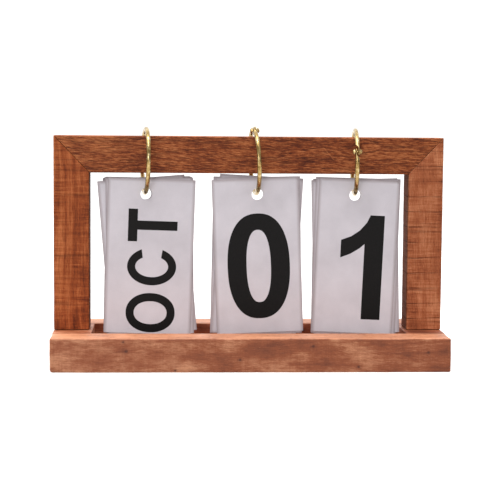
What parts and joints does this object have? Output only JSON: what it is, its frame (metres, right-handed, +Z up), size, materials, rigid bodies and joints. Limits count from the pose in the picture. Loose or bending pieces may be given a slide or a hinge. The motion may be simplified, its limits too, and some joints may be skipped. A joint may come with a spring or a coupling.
{
  "type": "flip desk calendar",
  "caption": "Flip desk calendar: mitred wooden frame on a grooved base, with month, tens and ones cards hung from its rail on hinged brass rings.",
  "frame": {"origin": "bottom centre of the base", "axes": "+X along the base to the viewer's right, +Y to the back, +Z up; -Y is the front"},
  "size_m": [0.28, 0.106, 0.1703],
  "materials": {
    "rail_wood": "reddish brown stain, satin",
    "dark_wood": "darker reddish brown stain, satin",
    "light_wood": "lighter stain over saw marks, satin",
    "base_wood": "reddish brown stain with small knots, satin",
    "dowel_wood": "bare beech",
    "steel": "zinc plated",
    "brass": "polished",
    "card_stock": "uncoated white card, printed black",
    "ink": "matt black printing ink"
  },
  "bodies": {
    "stand": {"base_front_bar": "base_wood", "base_rear_bar": "base_wood", "base_end_left": "base_wood", "base_end_right": "base_wood", "trough_floor": "dark_wood", "stile_left": "dark_wood", "stile_right": "light_wood", "top_rail": "rail_wood", "base_dowel_front_left": "dowel_wood", "base_dowel_front_right": "dowel_wood", "base_dowel_rear_left": "dowel_wood", "base_dowel_rear_right": "dowel_wood", "mitre_dowel_left": "dowel_wood", "mitre_dowel_right": "dowel_wood", "stile_screw_front_left": "steel", "stile_screw_front_right": "steel", "stile_screw_rear_left": "steel", "stile_screw_rear_right": "steel"},
    "month_ring": {"month_ring_fixed_half": "brass", "month_ring_rivet": "brass"},
    "month_ring_gate": {"month_ring_gate_half": "brass"},
    "month_card_oct": {"month_card_oct": "card_stock"},
    "month_card_nov": {"month_card_nov": "card_stock"},
    "month_card_dec": {"month_card_dec": "card_stock"},
    "month_card_jan": {"month_card_jan": "card_stock"},
    "month_card_feb": {"month_card_feb": "card_stock"},
    "month_card_mar": {"month_card_mar": "card_stock"},
    "month_card_apr": {"month_card_apr": "card_stock"},
    "month_card_may": {"month_card_may": "card_stock"},
    "month_card_jun": {"month_card_jun": "card_stock"},
    "month_card_jul": {"month_card_jul": "card_stock"},
    "month_card_aug": {"month_card_aug": "card_stock"},
    "month_card_sep": {"month_card_sep": "card_stock"},
    "tens_ring": {"tens_ring_fixed_half": "brass", "tens_ring_rivet": "brass"},
    "tens_ring_gate": {"tens_ring_gate_half": "brass"},
    "tens_card_0": {"tens_card_0": "card_stock"},
    "tens_card_1": {"tens_card_1": "card_stock"},
    "tens_card_2": {"tens_card_2": "card_stock"},
    "tens_card_3": {"tens_card_3": "card_stock"},
    "ones_ring": {"ones_ring_fixed_half": "brass", "ones_ring_rivet": "brass"},
    "ones_ring_gate": {"ones_ring_gate_half": "brass"},
    "ones_card_1": {"ones_card_1": "card_stock"},
    "ones_card_2": {"ones_card_2": "card_stock"},
    "ones_card_3": {"ones_card_3": "card_stock"},
    "ones_card_4": {"ones_card_4": "card_stock"},
    "ones_card_5": {"ones_card_5": "card_stock"},
    "ones_card_6": {"ones_card_6": "card_stock"},
    "ones_card_7": {"ones_card_7": "card_stock"},
    "ones_card_8": {"ones_card_8": "card_stock"},
    "ones_card_9": {"ones_card_9": "card_stock"},
    "ones_card_0": {"ones_card_0": "card_stock"}
  },
  "joints": [
    {"name": "month_ring_slide", "type": "slide", "parent": "stand", "child": "month_ring", "axis": [1, 0, 0], "range_m": [-0.005, 0.004]},
    {"name": "month_gate_hinge", "type": "hinge", "parent": "month_ring", "child": "month_ring_gate", "pos_m": [-0.07725, 0.02217, 0.1394], "axis": [-0.9938, -0.1097, 0.0175], "range_deg": [0, 50]},
    {"name": "month_front_card_flip", "type": "hinge", "parent": "month_ring", "child": "month_card_oct", "pos_m": [-0.0747, 0.002, 0.14538], "axis": [-1, 0, 0], "range_deg": [0, 75]},
    {"name": "month_card_nov_fan", "type": "hinge", "parent": "month_ring", "child": "month_card_nov", "pos_m": [-0.0747, -0.002, 0.14138], "axis": [1, 0, 0], "range_deg": [0, 3.8]},
    {"name": "month_card_dec_fan", "type": "hinge", "parent": "month_ring", "child": "month_card_dec", "pos_m": [-0.0747, -0.002, 0.14138], "axis": [1, 0, 0], "range_deg": [0, 7.4]},
    {"name": "month_card_jan_fan", "type": "hinge", "parent": "month_ring", "child": "month_card_jan", "pos_m": [-0.0747, -0.002, 0.14138], "axis": [1, 0, 0], "range_deg": [0, 11.1]},
    {"name": "month_card_feb_fan", "type": "hinge", "parent": "month_ring", "child": "month_card_feb", "pos_m": [-0.0747, -0.002, 0.14138], "axis": [1, 0, 0], "range_deg": [0, 14.7]},
    {"name": "month_card_mar_fan", "type": "hinge", "parent": "month_ring", "child": "month_card_mar", "pos_m": [-0.0747, -0.002, 0.14138], "axis": [1, 0, 0], "range_deg": [0, 18.3]},
    {"name": "month_card_apr_fan", "type": "hinge", "parent": "month_ring", "child": "month_card_apr", "pos_m": [-0.0747, -0.002, 0.14138], "axis": [1, 0, 0], "range_deg": [0, 22]},
    {"name": "month_card_may_fan", "type": "hinge", "parent": "month_ring", "child": "month_card_may", "pos_m": [-0.0747, -0.002, 0.14138], "axis": [1, 0, 0], "range_deg": [0, 25.6]},
    {"name": "month_card_jun_fan", "type": "hinge", "parent": "month_ring", "child": "month_card_jun", "pos_m": [-0.0747, -0.002, 0.14138], "axis": [1, 0, 0], "range_deg": [0, 29.2]},
    {"name": "month_card_jul_fan", "type": "hinge", "parent": "month_ring", "child": "month_card_jul", "pos_m": [-0.0747, -0.002, 0.14138], "axis": [1, 0, 0], "range_deg": [0, 32.9]},
    {"name": "month_card_aug_fan", "type": "hinge", "parent": "month_ring", "child": "month_card_aug", "pos_m": [-0.0747, -0.002, 0.14138], "axis": [1, 0, 0], "range_deg": [0, 36.5]},
    {"name": "month_rear_cards_fan", "type": "hinge", "parent": "month_ring", "child": "month_card_sep", "pos_m": [-0.0747, -0.002, 0.14138], "axis": [1, 0, 0], "range_deg": [0, 40]},
    {"name": "tens_ring_slide", "type": "slide", "parent": "stand", "child": "tens_ring", "axis": [1, 0, 0], "range_m": [-0.003, 0.002]},
    {"name": "tens_gate_hinge", "type": "hinge", "parent": "tens_ring", "child": "tens_ring_gate", "pos_m": [0.00357, -0.00605, 0.16767], "axis": [0.9951, 0.0871, 0.0471], "range_deg": [0, 50]},
    {"name": "tens_front_card_flip", "type": "hinge", "parent": "tens_ring", "child": "tens_card_0", "pos_m": [0.0041, 0.001, 0.14538], "axis": [-1, 0, 0], "range_deg": [0, 75]},
    {"name": "tens_card_1_fan", "type": "hinge", "parent": "tens_ring", "child": "tens_card_1", "pos_m": [0.0041, -0.002, 0.14438], "axis": [1, 0, 0], "range_deg": [0, 20.1]},
    {"name": "tens_card_2_fan", "type": "hinge", "parent": "tens_ring", "child": "tens_card_2", "pos_m": [0.0041, -0.002, 0.14438], "axis": [1, 0, 0], "range_deg": [0, 40.2]},
    {"name": "tens_rear_cards_fan", "type": "hinge", "parent": "tens_ring", "child": "tens_card_3", "pos_m": [0.0041, -0.002, 0.14438], "axis": [1, 0, 0], "range_deg": [0, 60]},
    {"name": "ones_ring_slide", "type": "slide", "parent": "stand", "child": "ones_ring", "axis": [1, 0, 0], "range_m": [-0.002, 0.002]},
    {"name": "ones_gate_hinge", "type": "hinge", "parent": "ones_ring", "child": "ones_ring_gate", "pos_m": [0.07598, -0.02168, 0.15328], "axis": [0.9989, -0.0471, 0], "range_deg": [0, 50]},
    {"name": "ones_front_card_flip", "type": "hinge", "parent": "ones_ring", "child": "ones_card_1", "pos_m": [0.077, 0, 0.14538], "axis": [-1, 0, 0], "range_deg": [0, 65]},
    {"name": "ones_card_2_fan", "type": "hinge", "parent": "ones_ring", "child": "ones_card_2", "pos_m": [0.077, -0.002, 0.14138], "axis": [1, 0, 0], "range_deg": [0, 4.6]},
    {"name": "ones_card_3_fan", "type": "hinge", "parent": "ones_ring", "child": "ones_card_3", "pos_m": [0.077, -0.002, 0.14138], "axis": [1, 0, 0], "range_deg": [0, 9]},
    {"name": "ones_card_4_fan", "type": "hinge", "parent": "ones_ring", "child": "ones_card_4", "pos_m": [0.077, -0.002, 0.14138], "axis": [1, 0, 0], "range_deg": [0, 13.5]},
    {"name": "ones_card_5_fan", "type": "hinge", "parent": "ones_ring", "child": "ones_card_5", "pos_m": [0.077, -0.002, 0.14138], "axis": [1, 0, 0], "range_deg": [0, 17.9]},
    {"name": "ones_card_6_fan", "type": "hinge", "parent": "ones_ring", "child": "ones_card_6", "pos_m": [0.077, -0.002, 0.14138], "axis": [1, 0, 0], "range_deg": [0, 22.4]},
    {"name": "ones_card_7_fan", "type": "hinge", "parent": "ones_ring", "child": "ones_card_7", "pos_m": [0.077, -0.002, 0.14138], "axis": [1, 0, 0], "range_deg": [0, 26.8]},
    {"name": "ones_card_8_fan", "type": "hinge", "parent": "ones_ring", "child": "ones_card_8", "pos_m": [0.077, -0.002, 0.14138], "axis": [1, 0, 0], "range_deg": [0, 31.3]},
    {"name": "ones_card_9_fan", "type": "hinge", "parent": "ones_ring", "child": "ones_card_9", "pos_m": [0.077, -0.002, 0.14138], "axis": [1, 0, 0], "range_deg": [0, 35.7]},
    {"name": "ones_rear_cards_fan", "type": "hinge", "parent": "ones_ring", "child": "ones_card_0", "pos_m": [0.077, -0.002, 0.14138], "axis": [1, 0, 0], "range_deg": [0, 40]}
  ],
  "couplings": [
    {"joint": "month_card_nov_fan", "follows": "month_rear_cards_fan", "ratio": 0.0909},
    {"joint": "month_card_dec_fan", "follows": "month_rear_cards_fan", "ratio": 0.1818},
    {"joint": "month_card_jan_fan", "follows": "month_rear_cards_fan", "ratio": 0.2727},
    {"joint": "month_card_feb_fan", "follows": "month_rear_cards_fan", "ratio": 0.3636},
    {"joint": "month_card_mar_fan", "follows": "month_rear_cards_fan", "ratio": 0.4545},
    {"joint": "month_card_apr_fan", "follows": "month_rear_cards_fan", "ratio": 0.5455},
    {"joint": "month_card_may_fan", "follows": "month_rear_cards_fan", "ratio": 0.6364},
    {"joint": "month_card_jun_fan", "follows": "month_rear_cards_fan", "ratio": 0.7273},
    {"joint": "month_card_jul_fan", "follows": "month_rear_cards_fan", "ratio": 0.8182},
    {"joint": "month_card_aug_fan", "follows": "month_rear_cards_fan", "ratio": 0.9091},
    {"joint": "tens_card_1_fan", "follows": "tens_rear_cards_fan", "ratio": 0.3333},
    {"joint": "tens_card_2_fan", "follows": "tens_rear_cards_fan", "ratio": 0.6667},
    {"joint": "ones_card_2_fan", "follows": "ones_rear_cards_fan", "ratio": 0.1111},
    {"joint": "ones_card_3_fan", "follows": "ones_rear_cards_fan", "ratio": 0.2222},
    {"joint": "ones_card_4_fan", "follows": "ones_rear_cards_fan", "ratio": 0.3333},
    {"joint": "ones_card_5_fan", "follows": "ones_rear_cards_fan", "ratio": 0.4444},
    {"joint": "ones_card_6_fan", "follows": "ones_rear_cards_fan", "ratio": 0.5556},
    {"joint": "ones_card_7_fan", "follows": "ones_rear_cards_fan", "ratio": 0.6667},
    {"joint": "ones_card_8_fan", "follows": "ones_rear_cards_fan", "ratio": 0.7778},
    {"joint": "ones_card_9_fan", "follows": "ones_rear_cards_fan", "ratio": 0.8889}
  ]
}
